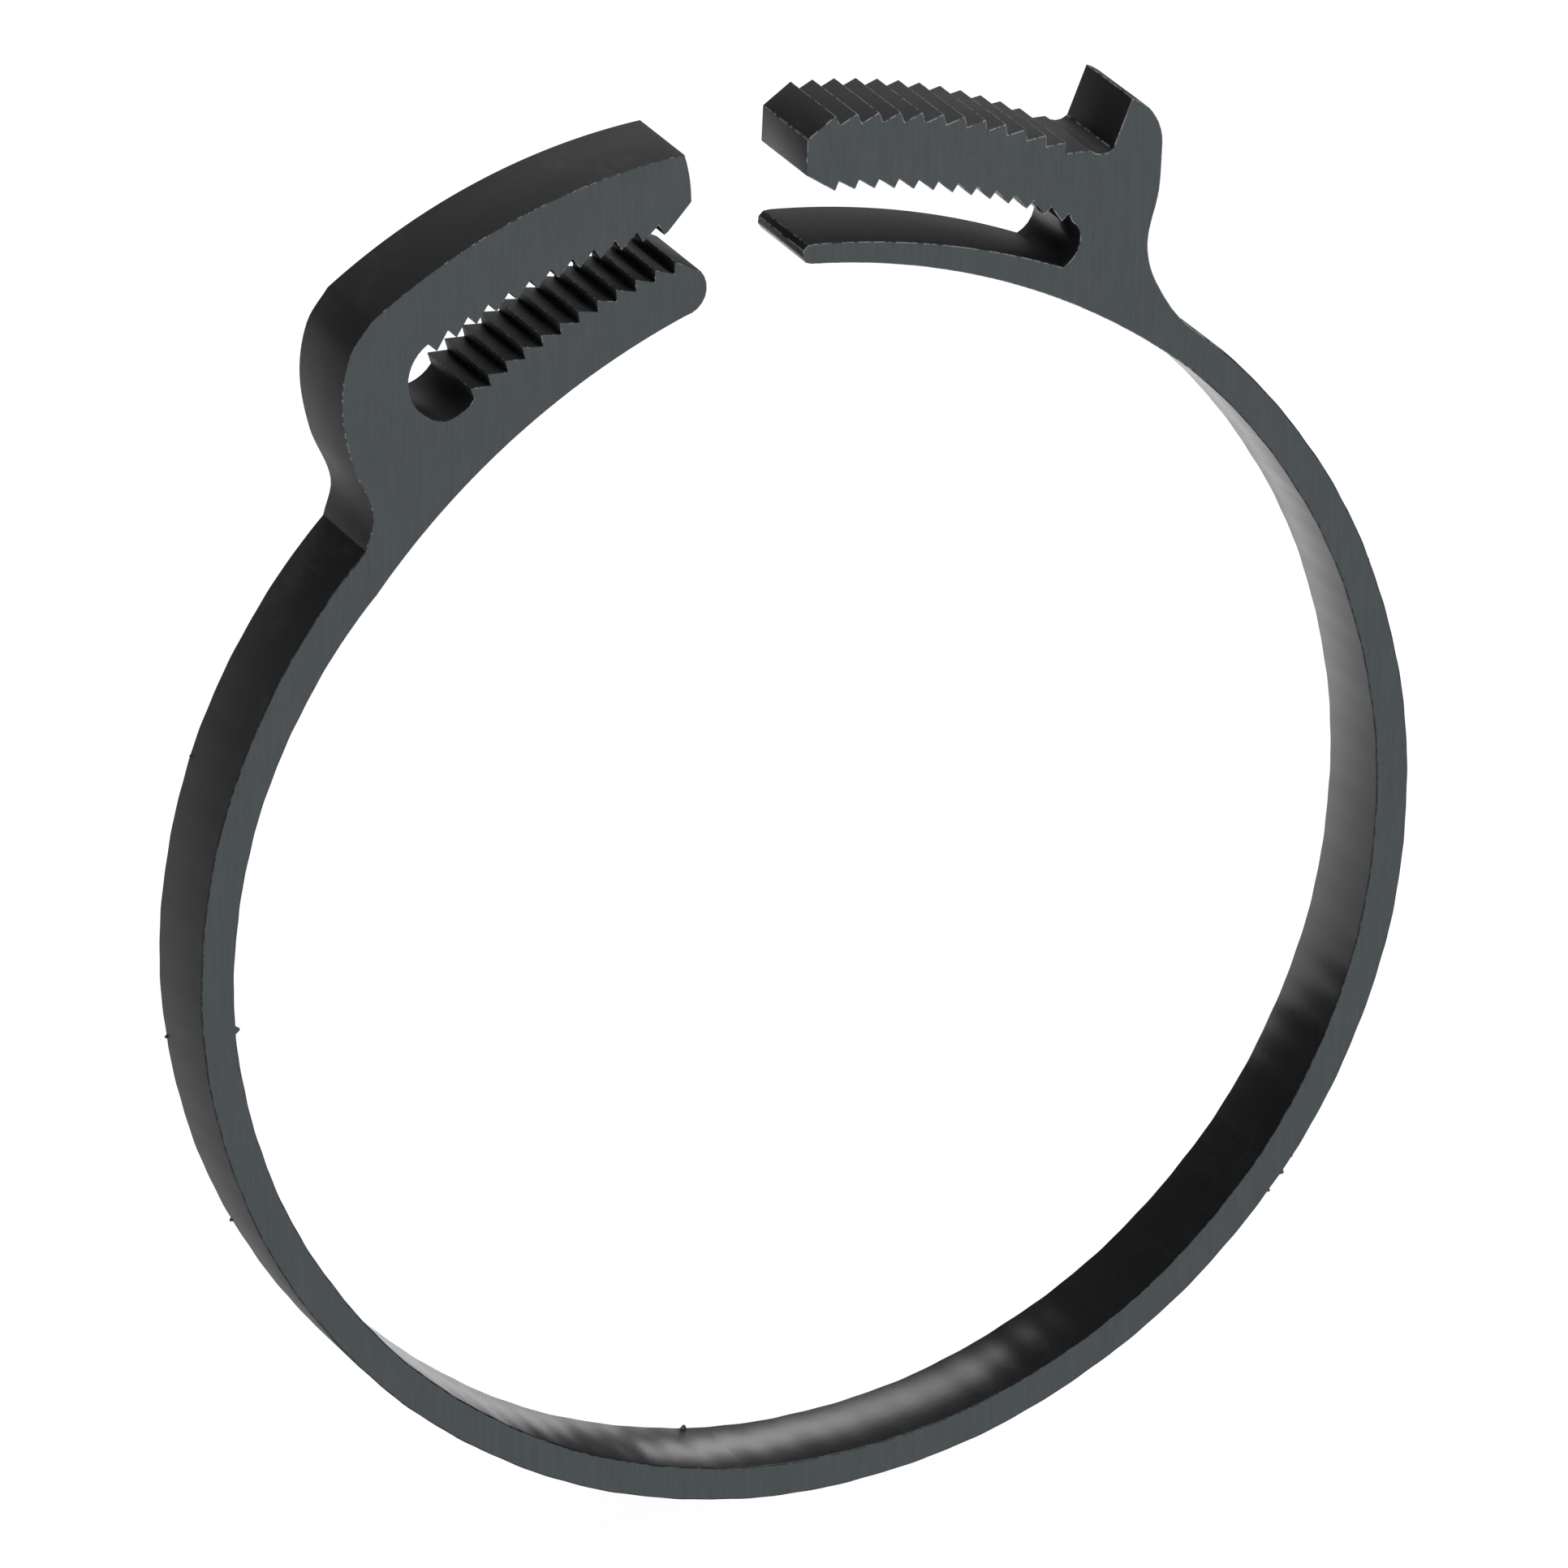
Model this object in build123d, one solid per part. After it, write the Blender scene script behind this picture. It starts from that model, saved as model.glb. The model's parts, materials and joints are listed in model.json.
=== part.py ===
from build123d import *
import math
import os

# Double-grip ratchet hose clamp, moulded in one piece.
# Millimetres. The hose runs along Y and the ring stands in the XZ plane, jaws at +Z.
# The origin is on the axis of the hose's seat, half way across the clamp's width.

# ---- driving dimensions -------------------------------------------------------------
seat_radius = 35.25          # inside of the ring as moulded (open): a true circle at the bottom
band_thickness = 2.0
clamp_width = 6.1            # along the hose
right_flat_start = -8.0      # degrees; above here the right side is flatter
right_flat = 2.55            # how much larger its radius is
left_flat_start = -120.0     # the left side, likewise
left_flat = 1.4
left_turn_start = -165.0     # past here the left band turns in to its heel
left_turn_outer = 2.9        # how much smaller its outer radius is there
left_turn_inner = 3.65       # and its inner radius, so the band thickens to the heel
right_flex_span = 136.4      # degrees from the bottom of the ring to the right heel
left_flex_span = 129.0
flex_points_per_side = 5     # places where each half of the band bends
left_crease_angle = -222.7   # where the left heel leaves the band's outer face
left_under_angle = -220.0    # and its inner face
right_crease_angle = 49.4
right_under_angle = 50.4
flex_clearance = 0.04        # air between the two rounded faces of a bending place
twist_gap = 0.05             # air between the two bottom pieces, which twist apart
root_gap = 0.2               # degrees of air beside the rounded roots of the arms and the guide

jaw_centre = (-0.19, 0.17)   # the jaws are drawn about a point a little off the seat's axis
jaw_lift = 0.25              # jaw reference circle less the band's outer radius

tooth_height_slot = 0.70     # teeth inside the slot
tooth_height_upper = 0.60    # teeth on top of the tongue
tooth_height_lower = 0.55    # teeth under the tongue
slot_teeth = 12
slot_tooth_lean = 0.25       # degrees from a crest to the gullet behind it
slot_low_angles = (102.47, 121.98)    # first and last lower gullet, degrees round the ring
slot_high_angles = (102.83, 122.45)   # upper gullets
slot_low_rise = (2.23, 1.72)     # lower gullets above the band, at the mouth and the root
slot_high_rise = (5.38, 6.30)    # upper gullets
slot_middle_rise = 3.9
slot_mouth_angle = 97.0      # the cut of the slot starts in the open air past the lips
slot_mouth_rises = (2.9, 4.8)
lip_overrun = 6.0            # how far the toothed layers' outlines run past the lips
strip_depth_outer = (2.3, 1.1)   # toothed layer behind the gullets, at the mouth and the root
strip_depth_inner = (0.9, 1.0)

arm_root_angle = 123.3       # where the two arms of the slotted jaw bend
outer_arm_half = 1.76        # half the outer arm's thickness at its root
inner_arm_half = 1.72
outer_arm_rise = 8.02        # middle of the outer arm at its root
inner_arm_rise = -0.42

tongue_teeth_lower = 13
tongue_teeth_upper = 12
tongue_arc_inset = 4.2       # jaw reference circle less the radius of the tooth arcs
tongue_lower_centre = (-0.72, 8.91)   # centres of those arcs, from the jaws' centre
tongue_upper_centre = (0.0, 13.37)
tongue_lower_start = 86.6    # first crest, degrees round its own arc
tongue_lower_pitch = 2.105
tongue_lower_lean = 0.35     # degrees from a crest to the foot of its steep face
tongue_upper_start = 87.8
tongue_upper_pitch = 2.316
tongue_upper_lean = 0.55
tongue_root_angle = 66.6     # where the tongue runs into its heel
lug_base_rise = 8.3
fork_middle_rise = 3.0       # between the tongue and the guide

guide_root_angle = 65.5      # where the guide tongue bends
guide_root_rise = 0.2
guide_half = 1.2

# ---- values that follow ---------------------------------------------------------------
band_middle = seat_radius + band_thickness / 2
jaw_radius = seat_radius + band_thickness + jaw_lift
half_width = clamp_width / 2
bottom_angle = -90.0
far = 12.0                   # reach of the cutting shapes, more than any jaw's height
past_mouth = 95.0            # angles beyond the ends of the jaws, for the same shapes
past_tip = 96.0
past_lug = 55.0


# ---- helpers ----------------------------------------------------------------------------
def polar(radius, degrees, centre=(0.0, 0.0)):
    """A point in the ring's plane, by radius and angle about a centre."""
    turn = math.radians(degrees)
    return (centre[0] + radius * math.cos(turn), centre[1] + radius * math.sin(turn))


def at(degrees, rise):
    """A point of the jaws: its angle about their centre, its height above their circle."""
    return polar(jaw_radius + rise, degrees, jaw_centre)


def mix(pair, share):
    return pair[0] + (pair[1] - pair[0]) * share


def face_of(*lines):
    """A filled outline from lines and curves that follow one another."""
    return make_face([edge for line in lines for edge in line.edges()])


def polygon(points):
    return make_face(Polyline(*points, close=True))


def disc(centre, radius):
    return Pos(*centre) * Circle(radius)


def solid_of(outline):
    """An outline in the ring's plane, as wide as the clamp."""
    return extrude(Plane.XZ * outline, amount=half_width, both=True)


def sector(start, end, low, high):
    """The area between two angles about the jaws' centre and two rises."""
    middle = (start + end) / 2
    return face_of(ThreePointArc(at(start, high), at(middle, high), at(end, high)),
                   Line(at(end, high), at(end, low)),
                   ThreePointArc(at(end, low), at(middle, low), at(start, low)),
                   Line(at(start, low), at(start, high)))


# ---- the band ---------------------------------------------------------------------------
def on_arc(arc, degrees):
    """Where the ray from the ring's centre at this angle meets an arc."""
    (centre_x, centre_z), radius = arc
    ray_x, ray_z = polar(1.0, degrees)
    along = centre_x * ray_x + centre_z * ray_z
    across = centre_x * ray_z - centre_z * ray_x
    return polar(along + math.sqrt(radius ** 2 - across ** 2), degrees)


def next_arc(arc, degrees, shrink):
    """An arc that leaves another one here, tangent to it, with a smaller radius."""
    (centre_x, centre_z), radius = arc
    point_x, point_z = on_arc(arc, degrees)
    share = shrink / radius
    centre = (centre_x + (point_x - centre_x) * share, centre_z + (point_z - centre_z) * share)
    return centre, radius - shrink


def side_arcs(radius, left_turn):
    """The right, seat, left and heel arcs of the band's inner or outer edge."""
    seat = ((0.0, 0.0), radius)
    left = next_arc(seat, left_flat_start, -left_flat)
    return {"right": next_arc(seat, right_flat_start, -right_flat), "seat": seat,
            "left": left, "heel": next_arc(left, left_turn_start, left_turn)}


inner_arcs = side_arcs(seat_radius, left_turn_inner)
outer_arcs = side_arcs(seat_radius + band_thickness, left_turn_outer)


def band_edges(degrees, stretch=None):
    """The inner and the outer point of the band at an angle round the ring."""
    if stretch is None:
        stretch = ("right" if degrees > right_flat_start else "seat" if degrees >= left_flat_start
                   else "left" if degrees >= left_turn_start else "heel")
    return on_arc(inner_arcs[stretch], degrees), on_arc(outer_arcs[stretch], degrees)


def flex_point(side, number):
    """Bending place: side is +1 right or -1 left, number 0 is next to the bottom."""
    span = right_flex_span if side > 0 else left_flex_span
    step = span / (flex_points_per_side - 0.5)
    return bottom_angle + side * step * (number + 0.5)


def flex_centre(degrees):
    inner, outer = band_edges(degrees)
    return ((inner[0] + outer[0]) / 2, (inner[1] + outer[1]) / 2)


def flex_half(degrees):
    """Half the band's thickness at a bending place."""
    return math.dist(*band_edges(degrees)) / 2


def band_piece(stretch, start, end):
    """The band between two angles, on one pair of arcs."""
    angles = (start, (start + end) / 2, end)
    inners, outers = zip(*(band_edges(degrees, stretch) for degrees in angles))
    return face_of(ThreePointArc(*outers), Line(outers[2], inners[2]),
                   ThreePointArc(*inners), Line(inners[0], outers[0]))


heel_overrun = 8.0           # how far the band runs on under each heel, degrees
band_face = (band_piece("heel", bottom_angle - left_flex_span - heel_overrun, left_turn_start)
             + band_piece("left", left_turn_start, left_flat_start)
             + band_piece("seat", left_flat_start, right_flat_start)
             + band_piece("right", right_flat_start, right_flex_span + bottom_angle + heel_overrun))


def cut_line(inner, outer):
    """Two points on the line through these two, well inside and outside the band."""
    shift_x = outer[0] - inner[0]
    shift_z = outer[1] - inner[1]
    return ((inner[0] - shift_x, inner[1] - shift_z),
            (outer[0] + shift_x, outer[1] + shift_z))


def cut_edge(degrees):
    return cut_line(*band_edges(degrees))


def heel_band(side, under, crease):
    """The band between the last bending place and a heel's outline, with its round end."""
    last = flex_point(side, flex_points_per_side - 1)
    area = polygon([*cut_edge(last), *cut_line(under, crease)[::-1]])
    return (band_face & area) + (band_face & rounded_end(last))


def link_area(near, beyond):
    """Everything between two bending places."""
    near_in, near_out = cut_edge(near)
    beyond_in, beyond_out = cut_edge(beyond)
    return polygon([near_in, near_out, beyond_out, beyond_in])


def rounded_end(degrees):
    return disc(flex_centre(degrees), flex_half(degrees))


def hollow_end(degrees):
    return disc(flex_centre(degrees), flex_half(degrees) + flex_clearance)


def bottom_link(side):
    """Half of the bottom link, from the twist gap to its first bending place."""
    first = flex_point(side, 0)
    shape = band_face & link_area(bottom_angle, first)
    shape -= Pos(0, -band_middle) * Rectangle(twist_gap, 2 * band_thickness)
    return shape - hollow_end(first)


def band_link(side, number):
    """A link between two bending places: round at the near one, hollow at the far one."""
    near = flex_point(side, number)
    beyond = flex_point(side, number + 1)
    shape = (band_face & link_area(near, beyond)) + (band_face & rounded_end(near))
    return shape - hollow_end(beyond)


# ---- the slotted jaw, upper left ------------------------------------------------------------
def slot_row(angles, rises, height):
    """Saw teeth along one side of the slot: a steep face towards the root of the slot."""
    points = []
    for number in range(slot_teeth):
        share = number / (slot_teeth - 1)
        points.append(at(mix(angles, share) - slot_tooth_lean, mix(rises, share) + height))
        points.append(at(mix(angles, share), mix(rises, share)))
    return points


def slot_area():
    """The slot: two rows of teeth that open at the mouth and a round end."""
    lower = slot_row(slot_low_angles, slot_low_rise, tooth_height_slot)
    upper = slot_row(slot_high_angles, slot_high_rise, -tooth_height_slot)
    mouth = [at(slot_mouth_angle, rise) for rise in slot_mouth_rises]
    end_low = at(125.0, 1.85)
    return face_of(Polyline(lower[-1], *lower[-2::-1], *mouth, *upper),
                   ThreePointArc(upper[-1], at(125.55, 5.0), end_low),
                   ThreePointArc(end_low, at(123.6, 1.55), lower[-1]))


def slotted_jaw():
    """Outline of the whole upper left jaw, before the slot is cut."""
    crease = band_edges(left_crease_angle)[1]
    top_end = at(124.8, 9.75)
    under = band_edges(left_under_angle)[0]
    back = [top_end, at(127.4, 9.0), at(130.2, 7.0), at(132.6, 4.1), at(134.5, 0.9), crease]
    lip_low = at(102.3, -0.5)
    lip_corner = at(100.2, 1.8)
    outline = face_of(
        ThreePointArc(at(99.84, 8.95), at(112.0, 9.65), top_end),
        Spline(*back),
        Line(crease, under),
        ThreePointArc(under, at(118.35, -1.72), lip_low),
        ThreePointArc(lip_low, at(100.15, 0.3), lip_corner),
        Polyline(lip_corner, at(102.35, 2.93), at(102.21, 4.79), at(99.94, 6.05)),
        ThreePointArc(at(99.94, 6.05), at(99.75, 7.4), at(99.84, 8.95)))
    return outline + heel_band(-1, under, crease)


def arm_ends():
    return (at(arm_root_angle, outer_arm_rise), at(arm_root_angle, inner_arm_rise))


def slotted_jaw_parts():
    jaw = slotted_jaw() - slot_area()
    outer_end, inner_end = arm_ends()
    outer_area = sector(past_mouth, arm_root_angle, slot_middle_rise, far)
    inner_area = sector(past_mouth, arm_root_angle, -far / 2, slot_middle_rise)
    heel = jaw - sector(past_mouth, arm_root_angle + root_gap, -far / 2, far)
    heel -= disc(outer_end, outer_arm_half + flex_clearance)
    heel -= disc(inner_end, inner_arm_half + flex_clearance)
    outer_arm = (jaw & outer_area) + (jaw & disc(outer_end, outer_arm_half))
    inner_arm = (jaw & inner_area) + (jaw & disc(inner_end, inner_arm_half))
    outer_strip, outer_back = split_strip(outer_arm, slot_high_rise, strip_depth_outer)
    inner_strip, inner_back = split_strip(inner_arm, slot_low_rise,
                                          [-depth for depth in strip_depth_inner])
    return {"female_heel": heel, "outer_arm": outer_back, "outer_tooth_strip": outer_strip,
            "inner_arm": inner_back, "inner_tooth_strip": inner_strip}


def split_strip(arm, rises, depths):
    """Part an arm into its toothed layer and the plain back that carries it."""
    ends = (slot_high_angles[0] - lip_overrun, slot_high_angles[1])
    middle = (ends[0] + ends[1]) / 2
    behind = [at(ends[0], rises[0] + depths[0]),
              at(middle, mix(rises, 0.5) + mix(depths, 0.5)),
              at(ends[1], rises[1] + depths[1])]
    front = [at(degrees, slot_middle_rise) for degrees in (ends[1], middle, ends[0])]
    layer = face_of(ThreePointArc(*behind), Line(behind[2], front[0]),
                    ThreePointArc(*front), Line(front[2], behind[0]))
    return arm & layer, arm - layer


# ---- the tongued jaw, upper right -----------------------------------------------------------
def tongue_row(count, start, pitch, centre, crest, height, lean):
    """Saw teeth along the tongue: a long ramp from the tip side, then a steep face."""
    radius = jaw_radius - tongue_arc_inset
    centre = (jaw_centre[0] + centre[0], jaw_centre[1] + centre[1])
    points = []
    for number in range(count):
        degrees = start - number * pitch
        points.append(polar(radius, degrees, centre))
        points.append(polar(radius + crest * height, degrees - lean, centre))
    return points


def tongued_jaw():
    """Outline of the whole upper right jaw, tongue, lug and guide together."""
    upper = tongue_row(tongue_teeth_upper, tongue_upper_start, tongue_upper_pitch,
                       tongue_upper_centre, -1, tooth_height_upper, tongue_upper_lean)
    lower = tongue_row(tongue_teeth_lower, tongue_lower_start, tongue_lower_pitch,
                       tongue_lower_centre, 1, tooth_height_lower, tongue_lower_lean)
    notch_in, notch_low, notch_out = at(68.0, 7.95), at(67.0, 7.9), at(66.35, 8.35)
    lug_tip = at(66.4, 11.45)
    lug_back = at(62.84, 9.59)
    crease = band_edges(right_crease_angle)[1]
    under = band_edges(right_under_angle)[0]
    back = [lug_back, at(61.4, 7.0), at(60.4, 4.3), at(58.9, 2.8), at(56.2, 1.6),
            at(53.5, 0.97), crease]
    guide_end_low = at(90.23, 0.52)
    guide_end_top = at(90.0, 1.7)
    fork_top, fork_back, fork_low = at(67.3, 3.7), at(65.95, 2.6), at(66.6, 1.05)
    outline = face_of(
        Polyline(at(90.71, 5.87), at(90.55, 7.98), *upper, notch_in),
        ThreePointArc(notch_in, notch_low, notch_out),
        Line(notch_out, lug_tip),
        ThreePointArc(lug_tip, at(64.9, 11.2), lug_back),
        Spline(*back),
        Line(crease, under),
        ThreePointArc(under, at(70.0, -0.58), guide_end_low),
        ThreePointArc(guide_end_low, at(91.15, 1.05), guide_end_top),
        ThreePointArc(guide_end_top, at(78.0, 1.22), fork_low),
        ThreePointArc(fork_low, at(65.95, 1.9), fork_back),
        ThreePointArc(fork_back, at(66.3, 3.25), fork_top),
        Polyline(fork_top, *lower[::-1], at(90.71, 5.87)))
    return outline + heel_band(1, under, crease)


def tongued_jaw_parts():
    jaw = tongued_jaw()
    guide_end = at(guide_root_angle, guide_root_rise)
    guide_area = sector(guide_root_angle, past_tip, -far / 2, fork_middle_rise)
    tongue_area = sector(tongue_root_angle, past_tip, fork_middle_rise, far)
    lug_area = sector(past_lug, tongue_root_angle, lug_base_rise, far)
    guide = (jaw & guide_area) + (jaw & disc(guide_end, guide_half))
    heel = jaw - tongue_area - lug_area
    heel -= sector(guide_root_angle - root_gap, past_tip, -far / 2, fork_middle_rise)
    heel -= disc(guide_end, guide_half + flex_clearance)
    return {"male_heel": heel, "toothed_tongue": jaw & tongue_area,
            "stop_lug": jaw & lug_area, "guide_tongue": guide}


# ---- all pieces --------------------------------------------------------------------------------
def all_outlines():
    outlines = {"bottom_band_left": bottom_link(-1), "bottom_band_right": bottom_link(1)}
    for side, name in ((-1, "left_band"), (1, "right_band")):
        for number in range(flex_points_per_side - 1):
            outlines[f"{name}_{number + 1}"] = band_link(side, number)
    outlines.update(slotted_jaw_parts())
    outlines.update(tongued_jaw_parts())
    return outlines


if __name__ == "__main__":
    os.makedirs("parts", exist_ok=True)
    for name, outline in all_outlines().items():
        piece = solid_of(outline)
        piece.label = name
        export_step(piece, f"parts/{name}.step")
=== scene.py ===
# %% [markdown]
# # A moulded hose clamp
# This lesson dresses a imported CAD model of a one-piece nylon ratchet clamp. The CAD parts hold the sizes
# and the motion. Here every one of them is replaced by a finished piece of the same size, because a real
# clamp is one moulding: it has no gaps where the CAD model is parted, and its edges are very slightly soft.

# %% Load the frame
import json
import math

import bmesh
import bpy
from mathutils import Matrix, Quaternion, Vector


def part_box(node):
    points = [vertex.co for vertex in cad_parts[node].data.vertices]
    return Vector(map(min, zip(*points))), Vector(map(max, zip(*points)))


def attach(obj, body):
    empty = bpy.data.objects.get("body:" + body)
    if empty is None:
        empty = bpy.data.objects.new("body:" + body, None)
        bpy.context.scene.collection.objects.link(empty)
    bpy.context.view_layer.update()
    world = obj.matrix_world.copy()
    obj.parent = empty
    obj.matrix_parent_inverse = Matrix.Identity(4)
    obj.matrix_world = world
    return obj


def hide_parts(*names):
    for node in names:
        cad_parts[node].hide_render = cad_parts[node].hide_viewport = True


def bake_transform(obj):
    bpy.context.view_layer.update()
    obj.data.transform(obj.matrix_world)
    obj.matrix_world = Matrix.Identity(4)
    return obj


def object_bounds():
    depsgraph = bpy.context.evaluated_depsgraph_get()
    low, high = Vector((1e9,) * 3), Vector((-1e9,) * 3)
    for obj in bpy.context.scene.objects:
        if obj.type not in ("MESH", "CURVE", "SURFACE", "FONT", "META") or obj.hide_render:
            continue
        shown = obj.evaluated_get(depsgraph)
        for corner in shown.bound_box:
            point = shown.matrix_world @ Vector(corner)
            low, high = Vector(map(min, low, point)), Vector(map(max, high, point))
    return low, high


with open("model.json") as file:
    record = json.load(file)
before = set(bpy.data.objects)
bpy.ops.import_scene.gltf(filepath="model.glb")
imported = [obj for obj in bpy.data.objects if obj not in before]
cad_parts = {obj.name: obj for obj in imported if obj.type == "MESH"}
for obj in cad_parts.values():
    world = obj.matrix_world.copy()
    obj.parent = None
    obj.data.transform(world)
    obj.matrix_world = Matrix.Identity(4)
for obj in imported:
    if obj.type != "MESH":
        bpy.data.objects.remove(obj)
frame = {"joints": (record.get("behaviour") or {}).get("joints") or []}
cad_low, cad_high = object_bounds()
print("CAD box in mm", [round(x * 1000, 2) for x in (cad_high - cad_low)])

# %% [markdown]
# ## Units and reference circles
# Blender works in metres, and this clamp is smaller than a tenth of one. Bevels and merges behave better on
# numbers near 1, so each mesh is modelled in millimetres and scaled once at its end. The band hangs on a
# circle about the hose's axis. The jaws hang on a slightly larger circle about a point a little to one side.

# %% Sizes of the ring
MM = 0.001
SEAT_RADIUS = 35.25          # inside of the ring
BAND_THICKNESS = 2.0
JAW_CENTRE = (-0.19, 0.17)
JAW_RADIUS = SEAT_RADIUS + BAND_THICKNESS + 0.25
half_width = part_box("female_heel")[1].y / MM
print("half width in mm", round(half_width, 3))


def polar(radius, degrees, centre=(0.0, 0.0)):
    turn = math.radians(degrees)
    return Vector((centre[0] + radius * math.cos(turn), centre[1] + radius * math.sin(turn)))


def at(degrees, rise):
    """A point of the jaws, by angle and height above the jaws' circle."""
    return polar(JAW_RADIUS + rise, degrees, JAW_CENTRE)


# %% [markdown]
# ## The band's line
# The open ring isn't one circle. Its bottom is the hose's seat, its right side is flatter, and its left side
# turns in to the heel of the slotted jaw. Four arcs that leave each other at a tangent give that line with
# no kink, and the inner and outer faces each have their own four, because the band thickens at the left.

# %% Four tangent arcs for each face of the band
RIGHT_FLAT_START, RIGHT_FLAT = -8.0, 2.55
LEFT_FLAT_START, LEFT_FLAT = -120.0, 1.4
LEFT_TURN_START, LEFT_TURN = -165.0, {"inner": 3.65, "outer": 2.9}


def on_arc(arc, degrees):
    """Where the ray from the ring's centre at this angle meets an arc."""
    centre, radius = arc
    ray = polar(1.0, degrees)
    across = centre.x * ray.y - centre.y * ray.x
    return ray * (centre.dot(ray) + math.sqrt(radius ** 2 - across ** 2))


def next_arc(arc, degrees, shrink):
    """An arc that leaves another one here at a tangent, with a smaller radius."""
    centre, radius = arc
    return centre.lerp(on_arc(arc, degrees), shrink / radius), radius - shrink


def face_arcs(face):
    seat = (Vector((0.0, 0.0)), SEAT_RADIUS + (BAND_THICKNESS if face == "outer" else 0.0))
    left = next_arc(seat, LEFT_FLAT_START, -LEFT_FLAT)
    return {"right": next_arc(seat, RIGHT_FLAT_START, -RIGHT_FLAT), "seat": seat, "left": left,
            "heel": next_arc(left, LEFT_TURN_START, LEFT_TURN[face])}


ARCS = {face: face_arcs(face) for face in ("inner", "outer")}


def band_point(face, degrees):
    stretch = ("right" if degrees > RIGHT_FLAT_START else "seat" if degrees >= LEFT_FLAT_START
               else "left" if degrees >= LEFT_TURN_START else "heel")
    return on_arc(ARCS[face][stretch], degrees)


print("band thickness at the left heel", round(band_point("outer", -219).length
                                               - band_point("inner", -219).length, 2))

# %% [markdown]
# ## From a bmesh to a piece
# Every piece ends the same way: its normals turned outwards, its shading set, scaled to metres and given a
# material. The walls are shaded smooth, but the border of the flat front and back faces is kept hard, or the
# shading of the tiny bevels would spread over the whole flat face. The object stays at the origin with its
# place in its mesh.

# %% Finish a piece
SMOOTH_LIMIT = math.radians(32)
FLAT_NORMAL = 0.99           # above this a face is part of the flat front or back
pieces = {}


def finish_piece(name, bm, material, *nodes):
    bmesh.ops.recalc_face_normals(bm, faces=bm.faces)
    for face in bm.faces:
        face.smooth = True
    for edge in bm.edges:
        flat = [abs(face.normal.y) > FLAT_NORMAL for face in edge.link_faces]
        edge.smooth = flat in ([True, True], [False, False]) and edge.calc_face_angle(0) < SMOOTH_LIMIT
    bmesh.ops.scale(bm, vec=(MM, MM, MM), verts=bm.verts)
    open_edges = sum(1 for edge in bm.edges if len(edge.link_faces) != 2)
    mesh = bpy.data.meshes.new(name)
    bm.to_mesh(mesh)
    bm.free()
    mesh.materials.append(material)
    piece = bpy.data.objects.new(name, mesh)
    bpy.context.scene.collection.objects.link(piece)
    if nodes:
        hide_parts(*nodes)
    pieces[name] = piece
    print(name, len(mesh.polygons), "faces,", open_edges, "open edges")
    return piece


# %% [markdown]
# ## Shared effects of the moulding
# A mould leaves the same marks everywhere: a fine grain, faint upright polishing lines on the flat faces, a
# ragged burr where the two halves of the mould met, and pale smudges from handling. Where the burr is pale,
# it is partly a painted highlight along the edges. Each is a node group, built once, that puts out plain
# values.
# The materials decide what to do with them.

# %% A helper for node groups
VALUE_SOCKET = "NodeSocketFloat"


def effect_group(title, inputs, outputs):
    group = bpy.data.node_groups.new(title, "ShaderNodeTree")
    for name, default in inputs.items():
        socket = group.interface.new_socket(name, in_out="INPUT", socket_type=VALUE_SOCKET)
        socket.default_value = default
    for name in outputs:
        group.interface.new_socket(name, in_out="OUTPUT", socket_type=VALUE_SOCKET)
    return group, group.nodes.new("NodeGroupInput"), group.nodes.new("NodeGroupOutput")


def add_node(tree, kind, values=None, links=None, **settings):
    node = tree.nodes.new(kind)
    for key, setting in settings.items():
        setattr(node, key, setting)
    for socket, value in (values or {}).items():
        node.inputs[socket].default_value = value
    for socket, source in (links or {}).items():
        tree.links.new(source, node.inputs[socket])
    return node


def maths(tree, operation, *terms):
    """A Math node whose terms are sockets or plain numbers."""
    node = tree.nodes.new("ShaderNodeMath")
    node.operation = operation
    for index, term in enumerate(terms):
        if isinstance(term, (int, float)):
            node.inputs[index].default_value = term
        else:
            tree.links.new(term, node.inputs[index])
    return node.outputs[0]


def millimetres(tree, stretch=(1.0, 1.0, 1.0)):
    """Object coordinates in millimetres, stretched for a streaky pattern."""
    source = tree.nodes.new("ShaderNodeTexCoord").outputs["Object"]
    mapping = add_node(tree, "ShaderNodeMapping", {"Scale": [s / MM for s in stretch]}, {"Vector": source})
    return mapping.outputs["Vector"]


def ramp(tree, value, low, high):
    """0 below low, 1 above high, smooth between them."""
    node = add_node(tree, "ShaderNodeMapRange", {"From Min": low, "From Max": high}, {"Value": value},
                    interpolation_type="SMOOTHSTEP")
    return node.outputs["Result"]


# %% [markdown]
# The grain is glass-filled nylon's own texture: specks about a tenth of a millimetre across. Two noises, one
# fine and one coarser, keep it from looking like sand.

# %% Grain
FINE_SHARE, COARSE_SHARE = 0.7, 0.3
grain, grain_in, grain_out = effect_group("moulded_grain", {"Specks per mm": 9.0}, ["Grain"])
grain_place = millimetres(grain)
fine = add_node(grain, "ShaderNodeTexNoise", {"Detail": 3.0, "Roughness": 0.6},
                {"Vector": grain_place, "Scale": grain_in.outputs[0]})
coarse = add_node(grain, "ShaderNodeTexNoise", {"Scale": 1.4, "Detail": 2.0}, {"Vector": grain_place})
grain.links.new(maths(grain, "ADD", maths(grain, "MULTIPLY", fine.outputs["Fac"], FINE_SHARE),
                      maths(grain, "MULTIPLY", coarse.outputs["Fac"], COARSE_SHARE)), grain_out.inputs[0])
print("group", grain.name)

# %% [markdown]
# The polishing lines run up the flat faces. Noise squeezed across the clamp and drawn out along its height
# makes lines of uneven length and strength, as a stone leaves them in the mould.

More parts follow.
